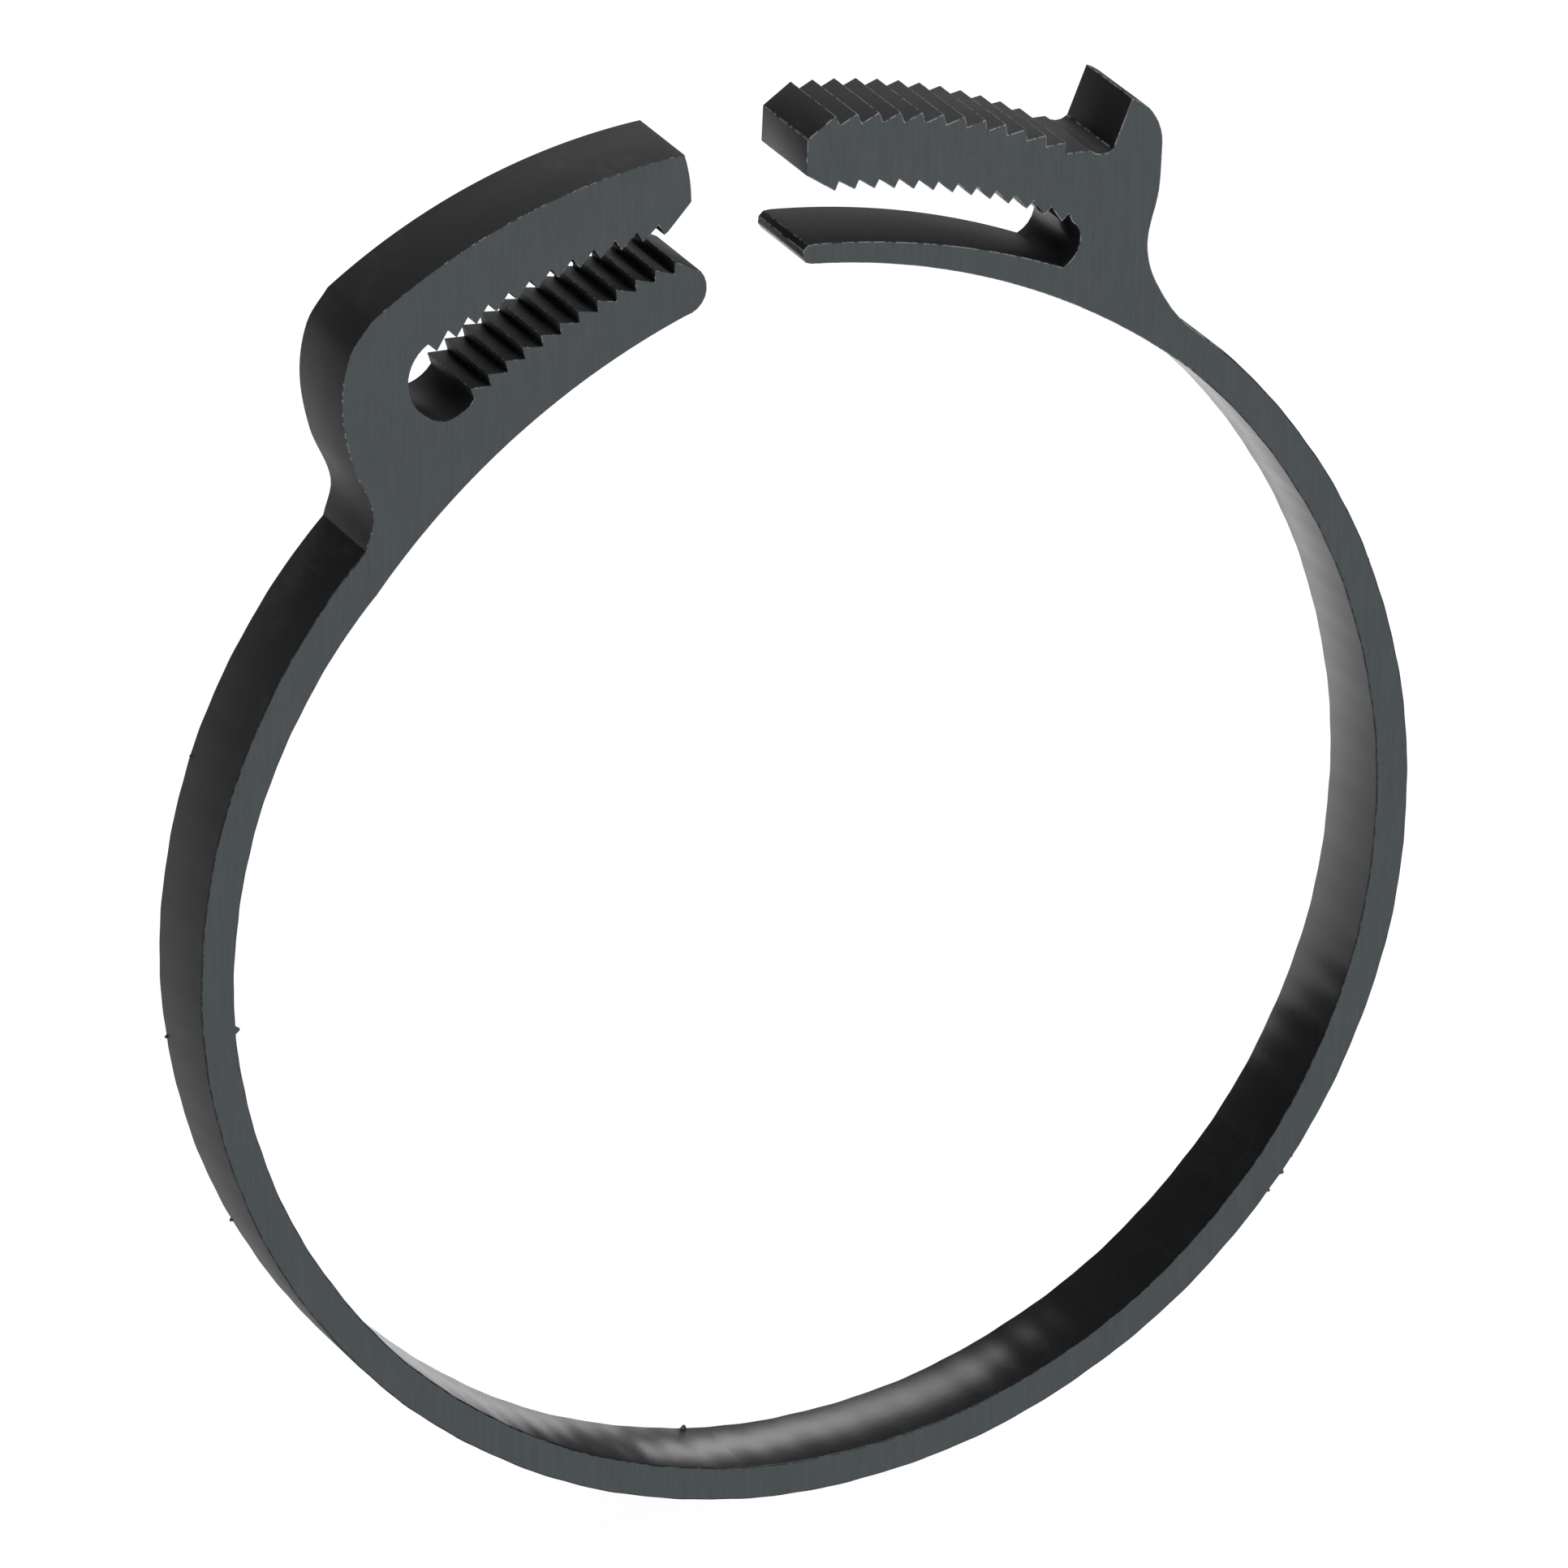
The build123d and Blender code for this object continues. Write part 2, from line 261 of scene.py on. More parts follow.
# %% Polishing lines
lines, lines_in, lines_out = effect_group("polishing_lines", {"Lines per mm": 5.0}, ["Lines"])
lines_noise = add_node(lines, "ShaderNodeTexNoise", {"Detail": 4.0, "Roughness": 0.65},
                       {"Vector": millimetres(lines, stretch=(1.0, 0.5, 0.07)),
                        "Scale": lines_in.outputs[0]})
lines.links.new(lines_noise.outputs["Fac"], lines_out.inputs[0])
print("group", lines.name)

# %% [markdown]
# The burr is a broken pale or dark line that runs along the moulding's edges, about a tenth of a
# millimetre wide. The pale line on the jaws is partly a painted highlight on the edge. The bevel that
# softens an edge also marks its faces with an attribute, so the line keeps to the edge however the piece
# bends. Noise breaks it up.

# %% Edge burr, partly a painted highlight
EDGE_MARK = "edge"
BURR_FADE = (0.0, 0.08)
burr_and_highlight_group, burr_and_highlight_in, burr_and_highlight_out = effect_group("edge_burr_and_highlight", {"Cover": 0.5, "Breaks per mm": 1.6}, ["Burr"])
on_edge = add_node(burr_and_highlight_group, "ShaderNodeAttribute", attribute_name=EDGE_MARK)
broken = add_node(burr_and_highlight_group, "ShaderNodeTexNoise", {"Detail": 3.0, "Roughness": 0.7},
                  {"Vector": millimetres(burr_and_highlight_group), "Scale": burr_and_highlight_in.outputs[1]})
covered = maths(burr_and_highlight_group, "SUBTRACT", broken.outputs["Fac"], maths(burr_and_highlight_group, "SUBTRACT", 1.0, burr_and_highlight_in.outputs[0]))
burr_and_highlight_group.links.new(maths(burr_and_highlight_group, "MULTIPLY", on_edge.outputs["Fac"], ramp(burr_and_highlight_group, covered, *BURR_FADE)),
               burr_and_highlight_out.inputs[0])
print("group", burr_and_highlight_group.name)

# %% [markdown]
# Handling leaves pale smudges and short scuffs on the wide faces. A slow noise says where, and a streaky one
# gives their texture.

# %% Smudges
PATCH_FADE, STREAK_FADE = (-0.06, 0.10), (0.38, 0.72)
smudge, smudge_in, smudge_out = effect_group("handling_smudges", {"Cover": 0.45}, ["Smudge"])
patch = add_node(smudge, "ShaderNodeTexNoise", {"Scale": 0.13, "Detail": 2.0},
                 {"Vector": millimetres(smudge)})
streak = add_node(smudge, "ShaderNodeTexNoise", {"Scale": 0.9, "Detail": 4.0, "Roughness": 0.7},
                  {"Vector": millimetres(smudge, stretch=(1.0, 0.35, 1.0))})
where = ramp(smudge, maths(smudge, "SUBTRACT", patch.outputs["Fac"],
                           maths(smudge, "SUBTRACT", 1.0, smudge_in.outputs[0])), *PATCH_FADE)
smudge.links.new(maths(smudge, "MULTIPLY", where, ramp(smudge, streak.outputs["Fac"], *STREAK_FADE)),
                 smudge_out.inputs[0])
print("group", smudge.name)

# %% [markdown]
# ## The nylon
# Flat moulded faces are matt slate grey. The faces that ran along the mould's wall are darker and shinier,
# so the finish turns with the normal: the more a face looks along the hose, the greyer and rougher it is.
# The outside of the ring was moulded against a matt cavity and the inside on a polished core, so the finish
# also turns with the way a face looks, out or in. The burr is fine and pale on the slotted jaw, longer on
# the tongue's teeth, and a dark, broken parting line on the band, so there are three nylons. The jaws' pale
# burr is partly a painted highlight along their edges.
#
# A brown tint at glancing angles is mixed into the colour as well, a painted reflection. It moves with the
# camera and an export loses it, so it is a fault of this material and not a thing to copy.

# %% Build one nylon
FACE_COLOUR = (0.040, 0.049, 0.055, 1.0)
WALL_COLOUR = (0.015, 0.0155, 0.016, 1.0)
SMUDGE_COLOUR = (0.060, 0.064, 0.066, 1.0)
# brown painted reflection, mixed into the colour at glancing angles
PAINTED_RIM_COLOUR = (0.110, 0.062, 0.038, 1.0)
POLISHED, MATT_FACE, MATT_OUTSIDE = 0.17, 0.24, 0.40     # roughness, and what each finish adds to it
GRAIN_ROUGHNESS, SMUDGE_ROUGHNESS = 0.10, 0.04
FLAT_TURN = (0.55, 0.95)     # where the flat finish fades in, by how far a face looks along the hose
OUTSIDE_TURN = (-0.25, 0.25)     # where the outside finish fades in, by how far a face looks out
SMUDGE_ANYWHERE, SMUDGE_OUTSIDE, SMUDGE_SHARE = 0.3, 0.7, 0.45
SHADE, GRAIN_SHADE, LINES_SHADE = 0.52, 0.40, 0.60
RIM_BLEND, RIM_POWER, RIM_SHARE = 0.12, 3.0, 0.35
GRAIN_HEIGHT, LINES_HEIGHT, BURR_HEIGHT = 0.6, 0.5, 1.2
BUMP_STRENGTH, BUMP_DISTANCE = 0.35, 0.00002
NYLON_IOR = 1.38


def mix_colours(tree, factor, first, second):
    node = tree.nodes.new("ShaderNodeMix")
    node.data_type = "RGBA"
    for socket, term in ((node.inputs["Factor"], factor), (node.inputs["A"], first),
                         (node.inputs["B"], second)):
        if isinstance(term, (float, tuple)):
            socket.default_value = term
        else:
            tree.links.new(term, socket)
    return node.outputs["Result"]


def use_group(tree, group, **values):
    node = tree.nodes.new("ShaderNodeGroup")
    node.node_tree = group
    for name, value in values.items():
        node.inputs[name.replace("_", " ")].default_value = value
    return node.outputs[0]


def nylon(title, burr_and_highlight_colour, burr_and_highlight_cover, burr_and_highlight_breaks):
    material = bpy.data.materials.new(title)
    material.use_nodes = True
    tree = material.node_tree
    shader = tree.nodes["Principled BSDF"]
    grain_value = use_group(tree, grain)
    lines_value = use_group(tree, lines)
    burr_and_highlight = use_group(tree, burr_and_highlight_group, Cover=burr_and_highlight_cover, Breaks_per_mm=burr_and_highlight_breaks)
    smudge_value = use_group(tree, smudge)
    geometry = tree.nodes.new("ShaderNodeNewGeometry")
    facing = add_node(tree, "ShaderNodeSeparateXYZ", links={"Vector": geometry.outputs["Normal"]})
    flat_face = ramp(tree, maths(tree, "ABSOLUTE", facing.outputs["Y"]), *FLAT_TURN)
    outward = tree.nodes.new("ShaderNodeVectorMath")
    outward.operation = "NORMALIZE"
    tree.links.new(millimetres(tree), outward.inputs[0])
    looking = tree.nodes.new("ShaderNodeVectorMath")
    looking.operation = "DOT_PRODUCT"
    tree.links.new(outward.outputs["Vector"], looking.inputs[0])
    tree.links.new(geometry.outputs["Normal"], looking.inputs[1])
    outside = ramp(tree, looking.outputs["Value"], *OUTSIDE_TURN)
    colour = mix_colours(tree, flat_face, WALL_COLOUR, FACE_COLOUR)
    smudge_value = maths(tree, "MULTIPLY", smudge_value, maths(
        tree, "ADD", SMUDGE_ANYWHERE, maths(tree, "MULTIPLY", outside, SMUDGE_OUTSIDE)))
    colour = mix_colours(tree, maths(tree, "MULTIPLY", smudge_value, SMUDGE_SHARE), colour, SMUDGE_COLOUR)
    shade = maths(tree, "ADD", SHADE, maths(
        tree, "ADD", maths(tree, "MULTIPLY", grain_value, GRAIN_SHADE),
        maths(tree, "MULTIPLY", lines_value, LINES_SHADE)))
    tint = tree.nodes.new("ShaderNodeVectorMath")
    tint.operation = "SCALE"
    tree.links.new(colour, tint.inputs[0])
    tree.links.new(shade, tint.inputs["Scale"])
    # the brown painted reflection at glancing angles
    edge_on = add_node(tree, "ShaderNodeLayerWeight", {"Blend": RIM_BLEND})
    painted_rim = maths(tree, "MULTIPLY", maths(tree, "POWER", edge_on.outputs["Facing"], RIM_POWER), RIM_SHARE)
    colour = mix_colours(tree, painted_rim, tint.outputs["Vector"], PAINTED_RIM_COLOUR)
    # the burr mask paints the jaws' pale edge line, partly a painted highlight, and the band's dark parting
    # line
    colour = mix_colours(tree, burr_and_highlight, colour, burr_and_highlight_colour)
    tree.links.new(colour, shader.inputs["Base Color"])
    wall_matt = maths(tree, "MAXIMUM", maths(tree, "MULTIPLY", flat_face, MATT_FACE),
                      maths(tree, "MULTIPLY", outside, MATT_OUTSIDE))
    roughness = maths(tree, "ADD", wall_matt, maths(
        tree, "ADD", POLISHED, maths(tree, "MULTIPLY", grain_value, GRAIN_ROUGHNESS)))
    roughness = maths(tree, "ADD", roughness, maths(tree, "MULTIPLY", smudge_value, SMUDGE_ROUGHNESS))
    tree.links.new(roughness, shader.inputs["Roughness"])
    height = maths(tree, "ADD", maths(tree, "MULTIPLY", grain_value, GRAIN_HEIGHT),
                   maths(tree, "ADD", maths(tree, "MULTIPLY", lines_value, LINES_HEIGHT),
                         maths(tree, "MULTIPLY", burr_and_highlight, BURR_HEIGHT)))
    bump = add_node(tree, "ShaderNodeBump", {"Strength": BUMP_STRENGTH, "Distance": BUMP_DISTANCE},
                    {"Height": height})
    tree.links.new(bump.outputs["Normal"], shader.inputs["Normal"])
    shader.inputs["IOR"].default_value = NYLON_IOR
    return material


# on the jaws the pale burr colour is partly a painted highlight along the edges
slotted_nylon = nylon("nylon_slotted_jaw", burr_and_highlight_colour=(0.20, 0.19, 0.16, 1.0), burr_and_highlight_cover=0.47,
                      burr_and_highlight_breaks=3.2)
tongued_nylon = nylon("nylon_tongued_jaw", burr_and_highlight_colour=(0.22, 0.22, 0.21, 1.0), burr_and_highlight_cover=0.56,
                      burr_and_highlight_breaks=2.0)
band_nylon = nylon("nylon_band", burr_and_highlight_colour=(0.008, 0.008, 0.009, 1.0), burr_and_highlight_cover=0.56, burr_and_highlight_breaks=1.6)
print("materials", slotted_nylon.name, tongued_nylon.name, band_nylon.name)

# %% [markdown]
# ## Band pieces
# A length of band is a rounded rectangle spun about the hose's axis. The spin gives even quads, which is
# what a piece needs if it has to bend. Then each point is slid to the true face of the band at its angle.
# The last slice before a heel leans, because the heel leaves the inner and outer faces at different angles.
# A moulded edge is never dead true, so the faces also wander by a few hundredths of a millimetre.

# %% Spin one length of band
HEEL_STARTS = {"right": (50.4, 49.4), "left": (-220.0, -222.7)}   # inner and outer face
SLICE_DEGREES = 0.75
CORNER = 0.09                # radius of the band's long edges
CORNER_INNER = half_width - 1.5 * CORNER
MERGE = 0.004                # points nearer than this are one point
WANDER = ((0.016, 0.31, 0.0), (0.012, 0.83, 2.0), (0.010, 1.91, 4.1))   # mm, turns per degree, phase
WANDER_FADE = 12.0


def wander(degrees):
    """How far the band's face strays at this angle; nothing where it meets a jaw."""
    room = min(degrees - HEEL_STARTS["left"][0], HEEL_STARTS["right"][1] - degrees)
    fade = min(1.0, max(0.0, room / WANDER_FADE))
    return fade * sum(size * math.sin(rate * degrees + phase) for size, rate, phase in WANDER)


def band_length(name, start, end, end_outer, *nodes):
    bm = bmesh.new()
    bmesh.ops.create_grid(bm, x_segments=1, y_segments=1, size=0.5)
    bmesh.ops.scale(bm, vec=(BAND_THICKNESS, 2 * half_width, 1.0), verts=bm.verts)
    bmesh.ops.bevel(bm, geom=bm.verts[:], offset=CORNER, segments=3, profile=0.5, affect="VERTICES",
                    material=-1)
    middle = SEAT_RADIUS + BAND_THICKNESS / 2
    bmesh.ops.translate(bm, vec=(middle, 0.0, 0.0), verts=bm.verts)
    turn = math.radians(start)
    bmesh.ops.rotate(bm, cent=(0, 0, 0), matrix=Matrix.Rotation(-turn, 3, "Y"), verts=bm.verts)
    steps = max(4, round(abs(end - start) / SLICE_DEGREES))
    bmesh.ops.spin(bm, geom=bm.verts[:] + bm.edges[:] + bm.faces[:], cent=(0, 0, 0), axis=(0, -1, 0),
                   angle=math.radians(end - start), steps=steps, use_duplicate=False)
    gaps = [edge for edge in bm.edges if len(edge.link_faces) == 1]
    if gaps:
        bmesh.ops.holes_fill(bm, edges=gaps, sides=0)
    for vertex in bm.verts:
        depth = (math.hypot(vertex.co.x, vertex.co.z) - SEAT_RADIUS) / BAND_THICKNESS
        degrees = math.degrees(math.atan2(vertex.co.z, vertex.co.x))
        degrees -= 360 * round((degrees - (start + end) / 2) / 360)
        share = (degrees - start) / (end - start)
        degrees += share * depth * (end_outer - end)
        point = band_point("inner", degrees).lerp(band_point("outer", degrees), depth)
        point += point.normalized() * wander(degrees + depth * vertex.co.y)
        vertex.co = (point.x, vertex.co.y, point.y)
    mark = bm.faces.layers.float.new(EDGE_MARK)
    for face in bm.faces:
        depths = [abs(v.co.y) for v in face.verts]
        on_corner = len(face.verts) == 4 and max(depths) - min(depths) > MERGE and min(depths) > CORNER_INNER
        face[mark] = 1.0 if on_corner else 0.0
    return finish_piece(name, bm, band_nylon, *nodes)


# %% [markdown]
# The band bends at five places on each side, and each length runs from the middle of one link to the middle
# of the next, across one bending place. The bottom length twists instead, when the jaws are pushed
# sideways.

# %% Cut the band into lengths
joints = {joint["child"]: joint for joint in frame["joints"]}
CHAINS = {"right": ["bottom_right", *[f"right_link_{n}" for n in range(1, 5)], "male_jaw"],
          "left": ["bottom_left", *[f"left_link_{n}" for n in range(1, 5)], "female_jaw"]}


def bend_angle(body, side):
    """The ring angle of the joint that carries a body."""
    pivot = joints[body]["pos_m"]
    degrees = math.degrees(math.atan2(pivot[2], pivot[0]))
    return degrees - 360 if side == "left" and degrees > 0 else degrees


bottom_ends = []
for side, bodies in CHAINS.items():
    bends = [bend_angle(body, side) for body in bodies[1:]]
    cuts = [(-90 + bends[0]) / 2] + [(a + b) / 2 for a, b in zip(bends, bends[1:])]
    bottom_ends.append(cuts[0])
    for number, bend in enumerate(bends, 1):
        last = number == len(bends)
        inner_end, outer_end = HEEL_STARTS[side] if last else (cuts[number], cuts[number])
        replaced = [] if last else [f"{side}_band_{number}"]
        length = band_length(f"band_{side}_{number}", cuts[number - 1], inner_end, outer_end, *replaced)
        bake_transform(length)
bottom = band_length("band_bottom", bottom_ends[1], bottom_ends[0], bottom_ends[0],
                     "bottom_band_left", "bottom_band_right")
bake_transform(bottom)
print("bottom length from", round(bottom_ends[1], 1), "to", round(bottom_ends[0], 1), "degrees")

# %% [markdown]
# ## Outlines of the jaws
# The jaws are the same section right through, so each is an outline pushed across the clamp's width. Arcs
# and one smooth curve need only the points that shape them, and the teeth come from loops.

# %% Arcs, curves and cuts
ARC_STEP = 0.4               # mm between points on an arc


def arc(first, through, last):
    """Points on the circle through three points, from the first to the last."""
    ax, ay = through - first
    bx, by = last - first
    double = 2 * (ax * by - ay * bx)
    square_a, square_b = ax * ax + ay * ay, bx * bx + by * by
    centre = first + Vector(((by * square_a - ay * square_b) / double,
                             (ax * square_b - bx * square_a) / double))
    arm = first - centre
    sweep = arm.angle_signed(last - centre)
    if (sweep > 0) != (double < 0):
        sweep -= math.copysign(math.tau, sweep)
    steps = max(3, round(abs(sweep) * arm.length / ARC_STEP))
    return [centre + Matrix.Rotation(-sweep * n / steps, 2) @ arm for n in range(steps + 1)]


def smooth_curve(knots):
    """A curve through all the knots, which leaves each along the line between its neighbours."""
    tangents = [b - a for a, b in zip([knots[0], *knots], [*knots[1:], knots[-1]])]
    points = [knots[0]]
    for n, (a, b) in enumerate(zip(knots, knots[1:])):
        reach = (b - a).length / 3
        first = a + tangents[n].normalized() * reach
        second = b - tangents[n + 1].normalized() * reach
        steps = max(3, round((b - a).length / ARC_STEP))
        for step in range(1, steps + 1):
            t = step / steps
            points.append(a * (1 - t) ** 3 + first * 3 * t * (1 - t) ** 2
                          + second * 3 * t * t * (1 - t) + b * t ** 3)
    return points


def split_at(points, degrees):
    """A line of points parted where it crosses a jaw angle."""
    centre = Vector(JAW_CENTRE)
    turns = [math.degrees(math.atan2(*(p - centre).yx)) for p in points]
    for n, (a, b) in enumerate(zip(turns, turns[1:])):
        if (a - degrees) * (b - degrees) < 0:
            cut = points[n].lerp(points[n + 1], (degrees - a) / (b - a))
            return [*points[:n + 1], cut], [cut, *points[n + 1:]]
    raise ValueError("the line doesn't cross that angle")


def saw_teeth(count, angles, rises, height, lean):
    """Crest and root of each tooth in a row along the slot, from the mouth inwards."""
    row = []
    for number in range(count):
        share = number / (count - 1)
        degrees = angles[0] + (angles[1] - angles[0]) * share
        rise = rises[0] + (rises[1] - rises[0]) * share
        row += [at(degrees - lean, rise + height), at(degrees, rise)]
    return row


# %% [markdown]
# An outline becomes a solid by extruding its face across the width. A real edge is never quite sharp, so
# every edge that turns sharply gets a tiny bevel, which catches the light. The cuts where
# two pieces of the one moulding meet are left square, so that nothing shows there.

# %% Push an outline across the clamp
EDGE_RADIUS = 0.055
SHARP_EDGE = math.radians(38)


def moulding(name, outline, cuts, material, *nodes):
    """outline is a closed run of points; cuts are pairs of points where it meets its neighbour."""
    clean = [p for n, p in enumerate(outline) if (p - outline[n - 1]).length > MERGE]
    bm = bmesh.new()
    mark = bm.faces.layers.float.new(EDGE_MARK)
    face = bm.faces.new([bm.verts.new((p.x, -half_width, p.y)) for p in clean])
    pushed = bmesh.ops.extrude_face_region(bm, geom=[face])
    moved = [v for v in pushed["geom"] if isinstance(v, bmesh.types.BMVert)]
    bmesh.ops.translate(bm, vec=(0, 2 * half_width, 0), verts=moved)
    bmesh.ops.recalc_face_normals(bm, faces=bm.faces)

    def at_cut(side_face):
        ends = {(round(v.co.x, 3), round(v.co.z, 3)) for v in side_face.verts}
        return any(ends == {(round(p.x, 3), round(p.y, 3)) for p in cut} for cut in cuts)

    soft = [edge for edge in bm.edges if len(edge.link_faces) == 2
            and edge.calc_face_angle(0) > SHARP_EDGE and not any(at_cut(f) for f in edge.link_faces)]
    softened = bmesh.ops.bevel(bm, geom=soft, offset=EDGE_RADIUS, segments=2, profile=0.5,
                               affect="EDGES", clamp_overlap=True, material=-1)
    for face in softened["faces"]:
        face[mark] = 1.0
    return finish_piece(name, bm, material, *nodes)


# %% [markdown]
# ## The slotted jaw
# The upper left jaw is a heel with two arms. Each arm has a row of twelve saw teeth on the inside of the
# slot. The arms spread as the tongue goes in, so each is a piece of its own, and all three share the points
# where they meet.

# %% Rows of teeth and the jaw's faces
SLOT_TEETH = 12
SLOT_LOW, SLOT_HIGH = (102.47, 121.98), (102.83, 122.45)     # jaw angles of each row
slot_low = saw_teeth(SLOT_TEETH, SLOT_LOW, rises=(2.23, 1.72), height=0.70, lean=0.25)
slot_high = saw_teeth(SLOT_TEETH, SLOT_HIGH, rises=(5.38, 6.30), height=-0.70, lean=0.25)
top_face = arc(at(99.84, 8.95), at(112.0, 9.65), at(124.8, 9.75))
arm_top, heel_top = split_at(top_face, SLOT_HIGH[1])
heel_inner, heel_outer = (band_point(face, degrees) for face, degrees
                          in zip(("inner", "outer"), HEEL_STARTS["left"]))
underside = arc(heel_inner, at(118.35, -1.72), at(102.3, -0.5))
heel_under, arm_under = split_at(underside, SLOT_LOW[1])
heel_back = smooth_curve([at(124.8, 9.75), at(127.4, 9.0), at(130.2, 7.0), at(132.6, 4.1),
                          at(134.5, 0.9), heel_outer])
print("slot teeth", len(slot_low) // 2, "below and", len(slot_high) // 2, "above")

# %% The heel with the round end of the slot
slot_end = (arc(slot_low[-1], at(123.6, 1.55), at(125.0, 1.85))
            + arc(at(125.0, 1.85), at(125.55, 5.0), slot_high[-1])[1:])
heel_line = heel_top + heel_back[1:] + heel_under + slot_end
slotted_heel = moulding("slotted_heel", heel_line, [(heel_outer, heel_inner),
                        (heel_under[-1], slot_low[-1]), (slot_high[-1], heel_top[0])],
                        slotted_nylon, "female_heel")
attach(slotted_heel, "female_jaw")

# %% The outer arm
outer_line = ([arm_top[-1]] + slot_high[::-1] + [at(102.21, 4.79)]
              + arc(at(99.94, 6.05), at(99.75, 7.4), at(99.84, 8.95)) + arm_top[1:-1])
outer_arm = moulding("slotted_outer_arm", outer_line, [(slot_high[-1], arm_top[-1])], slotted_nylon,
                     "outer_arm", "outer_tooth_strip")
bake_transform(outer_arm)

# %% The inner arm
inner_line = (slot_low[::-1] + arc(at(100.2, 1.8), at(100.15, 0.3), at(102.3, -0.5))
              + arm_under[::-1][1:])
inner_arm = moulding("slotted_inner_arm", inner_line, [(slot_low[-1], arm_under[0])], slotted_nylon,
                     "inner_arm", "inner_tooth_strip")
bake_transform(inner_arm)

# %% [markdown]
# ## The tongued jaw
# The upper right jaw carries the tongue, with twelve teeth above and thirteen below, the stop lug that a
# thumb pushes against, and the guide blade that slips under the slotted jaw. The tongue and the lug are one
# stiff lump with the heel. Only the guide bends, so it is a piece of its own.

# %% Teeth of the tongue
TONGUE_RADIUS = JAW_RADIUS - 4.2


def tongue_teeth(count, start, pitch, centre, height, lean):
    row = []
    middle = (JAW_CENTRE[0] + centre[0], JAW_CENTRE[1] + centre[1])
    for number in range(count):
        degrees = start - number * pitch
        row += [polar(TONGUE_RADIUS, degrees, middle), polar(TONGUE_RADIUS + height, degrees - lean, middle)]
    return row


tongue_high = tongue_teeth(count=12, start=87.8, pitch=2.316, centre=(0.0, 13.37), height=-0.60, lean=0.55)
tongue_low = tongue_teeth(count=13, start=86.6, pitch=2.105, centre=(-0.72, 8.91), height=0.55, lean=0.35)
print("tongue teeth", len(tongue_high) // 2, "above and", len(tongue_low) // 2, "below")

# %% Tongue, lug and heel
FORK_ANGLE = 66.6            # where the guide leaves the heel
male_inner, male_outer = (band_point(face, degrees) for face, degrees
                          in zip(("inner", "outer"), HEEL_STARTS["right"]))
male_under = arc(male_inner, at(70.0, -0.58), at(90.23, 0.52))
heel_floor, guide_floor = split_at(male_under, FORK_ANGLE)
fork_corner = at(FORK_ANGLE, 1.05)
male_line = ([at(90.71, 5.87), at(90.55, 7.98)] + tongue_high
             + arc(at(68.0, 7.95), at(67.0, 7.9), at(66.35, 8.35))
             + arc(at(66.4, 11.45), at(64.9, 11.2), at(62.84, 9.59))
             + smooth_curve([at(62.84, 9.59), at(61.4, 7.0), at(60.4, 4.3), at(58.9, 2.8), at(56.2, 1.6),
                             at(53.5, 0.97), male_outer])[1:]
             + heel_floor + arc(fork_corner, at(65.95, 1.9), at(65.95, 2.6))
             + arc(at(65.95, 2.6), at(66.3, 3.25), at(67.3, 3.7))[1:] + tongue_low[::-1])
tongued_jaw = moulding("tongued_jaw", male_line, [(male_outer, male_inner), (heel_floor[-1], fork_corner)],
                       tongued_nylon, "male_heel", "toothed_tongue", "stop_lug")
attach(tongued_jaw, "male_jaw")

# %% The guide blade
guide_line = (guide_floor + arc(at(90.23, 0.52), at(91.15, 1.05), at(90.0, 1.7))[1:]
              + arc(at(90.0, 1.7), at(78.0, 1.22), fork_corner)[1:])
guide_blade = moulding("guide_blade", guide_line, [(guide_floor[0], fork_corner)], tongued_nylon,
                       "guide_tongue")
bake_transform(guide_blade)

# %% [markdown]
# ## Mould flash
# Where the halves of the mould don't quite close, nylon squeezes out as small nibs on the band's edges. Each
# is a flattened cone, sunk into the edge. They are few, and no two are the same size.

# %% Nibs of flash
NIBS = {   # body: (ring angle, face, which edge along the hose, height in mm)
    "left_link_2": [(-154.0, "outer", 1, 0.16)],
    "left_link_3": [(-176.6, "inner", -1, 0.26), (-173.2, "outer", 1, 0.14)],
    "left_link_4": [(-199.0, "outer", 1, 0.12)],
    "bottom_left": [(-99.4, "inner", 1, 0.22)],
    "right_link_1": [(-60.0, "outer", -1, 0.08)],
    "right_link_2": [(-39.6, "outer", -1, 0.16), (-37.6, "outer", -1, 0.22), (-35.9, "outer", -1, 0.12)],
    "right_link_3": [(-10.6, "outer", -1, 0.06)],
    "right_link_4": [(22.8, "outer", -1, 0.06)],
}
NIB_SINK = 0.12
NIB_INSET = 0.16             # from the flat face to the middle of a nib
NIB_FOOT, NIB_TIP = 0.65, 0.2    # radii as shares of the height
NIB_FOOT_EXTRA = 0.05
NIB_SIDES = 12
NIB_SQUASH = (1.6, 0.55, 1.0)


def add_nib(bm, degrees, face, edge, height):
    centre = band_point(face, degrees)
    out = centre.normalized() * (1 if face == "outer" else -1)
    along_y = edge * (half_width - NIB_INSET)
    made = bmesh.ops.create_cone(bm, cap_ends=True, segments=NIB_SIDES,
                                 radius1=NIB_FOOT * height + NIB_FOOT_EXTRA, radius2=NIB_TIP * height,
                                 depth=height + NIB_SINK)
    bmesh.ops.scale(bm, vec=NIB_SQUASH, verts=made["verts"])
    stand = Vector((0, 0, 1)).rotation_difference(Vector((out.x, 0, out.y))).to_matrix()
    bmesh.ops.rotate(bm, cent=(0, 0, 0), matrix=stand, verts=made["verts"])
    middle = centre + out * (height - NIB_SINK) / 2
    bmesh.ops.translate(bm, vec=(middle.x, along_y, middle.y), verts=made["verts"])


for body, nibs in NIBS.items():
    bm = bmesh.new()
    for nib in nibs:
        add_nib(bm, *nib)
    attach(finish_piece(f"flash_{body}", bm, band_nylon), body)

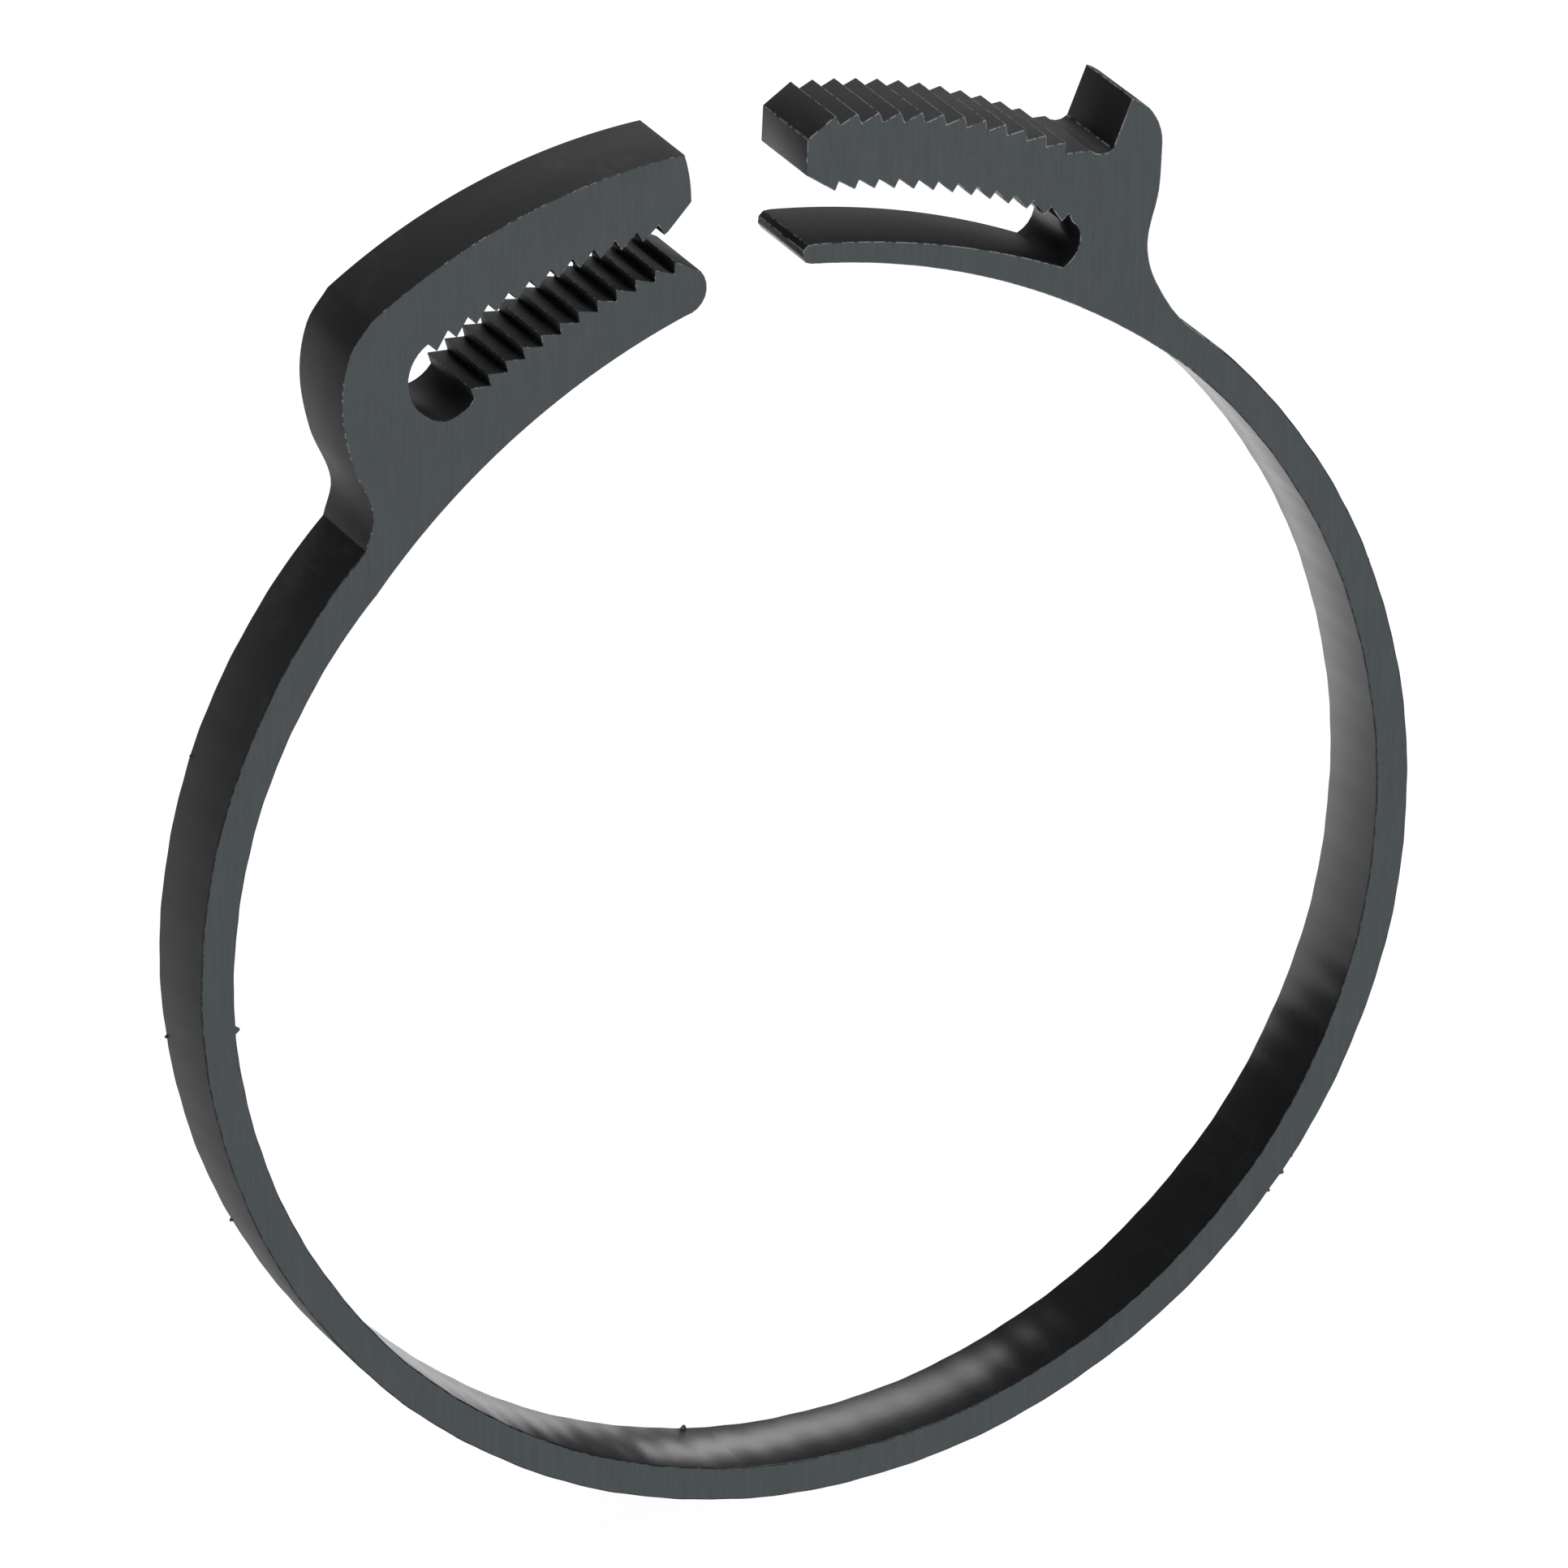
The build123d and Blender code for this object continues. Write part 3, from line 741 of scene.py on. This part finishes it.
# %% [markdown]
# ## Floor, light and camera
# The clamp stands on a white, evenly lit sheet in a dim room. Dark nylon shows mostly what it reflects: the
# faces that look up mirror the dim room and go nearly black, while those seen at a glancing angle mirror the
# sheet and go pale. Soft boxes in front and above light the flat faces, and a weak tilted strip behind lifts
# the bottom of the ring.

# %% Floor
SHEET_SIZE, SHEET_GAP = 6.0, 0.0001
SHEET_GREY, SHEET_GLOW, SHEET_ROUGHNESS = 0.12, 0.97, 0.9
bm = bmesh.new()
bmesh.ops.create_grid(bm, x_segments=1, y_segments=1, size=SHEET_SIZE / 2)
bmesh.ops.translate(bm, vec=(0, 0, cad_low.z - SHEET_GAP), verts=bm.verts)
sheet_mesh = bpy.data.meshes.new("floor")
bm.to_mesh(sheet_mesh)
bm.free()
floor = bpy.data.objects.new("floor", sheet_mesh)
bpy.context.scene.collection.objects.link(floor)
paper = bpy.data.materials.new("paper")
paper.use_nodes = True
paper_shader = paper.node_tree.nodes["Principled BSDF"]
paper_shader.inputs["Base Color"].default_value = (SHEET_GREY, SHEET_GREY, SHEET_GREY, 1.0)
paper_shader.inputs["Roughness"].default_value = SHEET_ROUGHNESS
paper_shader.inputs["Specular IOR Level"].default_value = 0.0
paper_shader.inputs["Emission Color"].default_value = (1.0, 1.0, 1.0, 1.0)
paper_shader.inputs["Emission Strength"].default_value = SHEET_GLOW
sheet_mesh.materials.append(paper)
print("sheet", SHEET_SIZE, "m wide, at height", round(cad_low.z - SHEET_GAP, 4))

# %% Room
ROOM_SEEN, ROOM_REFLECTED = 0.9, 0.045
bpy.context.scene.view_settings.view_transform = "Standard"
world = bpy.data.worlds.new("studio")
world.use_nodes = True
room = world.node_tree
seen = maths(room, "MULTIPLY", room.nodes.new("ShaderNodeLightPath").outputs["Is Camera Ray"],
             ROOM_SEEN - ROOM_REFLECTED)
room.links.new(maths(room, "ADD", seen, ROOM_REFLECTED), room.nodes["Background"].inputs["Strength"])
room.nodes["Background"].inputs["Color"].default_value = (1.0, 1.0, 1.0, 1.0)
bpy.context.scene.world = world
print("room is", ROOM_SEEN, "seen and", ROOM_REFLECTED, "reflected")


# %% Soft boxes
def soft_box(name, azimuth, elevation, distance, width, height, power, roll=0.0):
    turn, rise = math.radians(azimuth), math.radians(elevation)
    way = Vector((math.sin(turn) * math.cos(rise), -math.cos(turn) * math.cos(rise), math.sin(rise)))
    light = bpy.data.lights.new(name, "AREA")
    light.shape = "RECTANGLE"
    light.size, light.size_y = width, height
    light.energy = power
    lamp = bpy.data.objects.new(name, light)
    lamp.location = way * distance
    lamp.rotation_mode = "QUATERNION"
    lamp.rotation_quaternion = way.to_track_quat("Z", "Y") @ Quaternion((0, 0, 1), math.radians(roll))
    bpy.context.scene.collection.objects.link(lamp)
    print(name, power, "W from", distance, "m")


soft_box("front_box", azimuth=10, elevation=12, distance=1.3, width=0.8, height=0.8, power=10.0)
soft_box("back_strip", azimuth=161, elevation=24, distance=1.5, width=1.0, height=0.26, power=2.5, roll=35)
soft_box("top_box", azimuth=110, elevation=70, distance=1.2, width=0.8, height=0.8, power=9.0)

# %% Camera
AZIMUTH, ELEVATION = math.radians(-24.43), math.radians(22.68)
LENS = 404.25
STAND_BACK, STAND_LEFT, STAND_UP = 1.00014, 0.000635, 0.005106     # metres from the ring's centre
back = Vector((math.sin(AZIMUTH) * math.cos(ELEVATION), -math.cos(AZIMUTH) * math.cos(ELEVATION),
               math.sin(ELEVATION)))
right = Vector((math.cos(AZIMUTH), math.sin(AZIMUTH), 0.0))
up = back.cross(right)
view = bpy.data.cameras.new("view")
view.sensor_width = 36.0
view.lens = LENS
view.clip_start, view.clip_end = 0.05, 20.0
camera = bpy.data.objects.new("view", view)
camera.location = back * STAND_BACK - right * STAND_LEFT + up * STAND_UP
camera.rotation_mode = "QUATERNION"
camera.rotation_quaternion = back.to_track_quat("Z", "Y")
bpy.context.scene.collection.objects.link(camera)
bpy.context.scene.camera = camera
print("camera at", [round(x, 4) for x in camera.location])
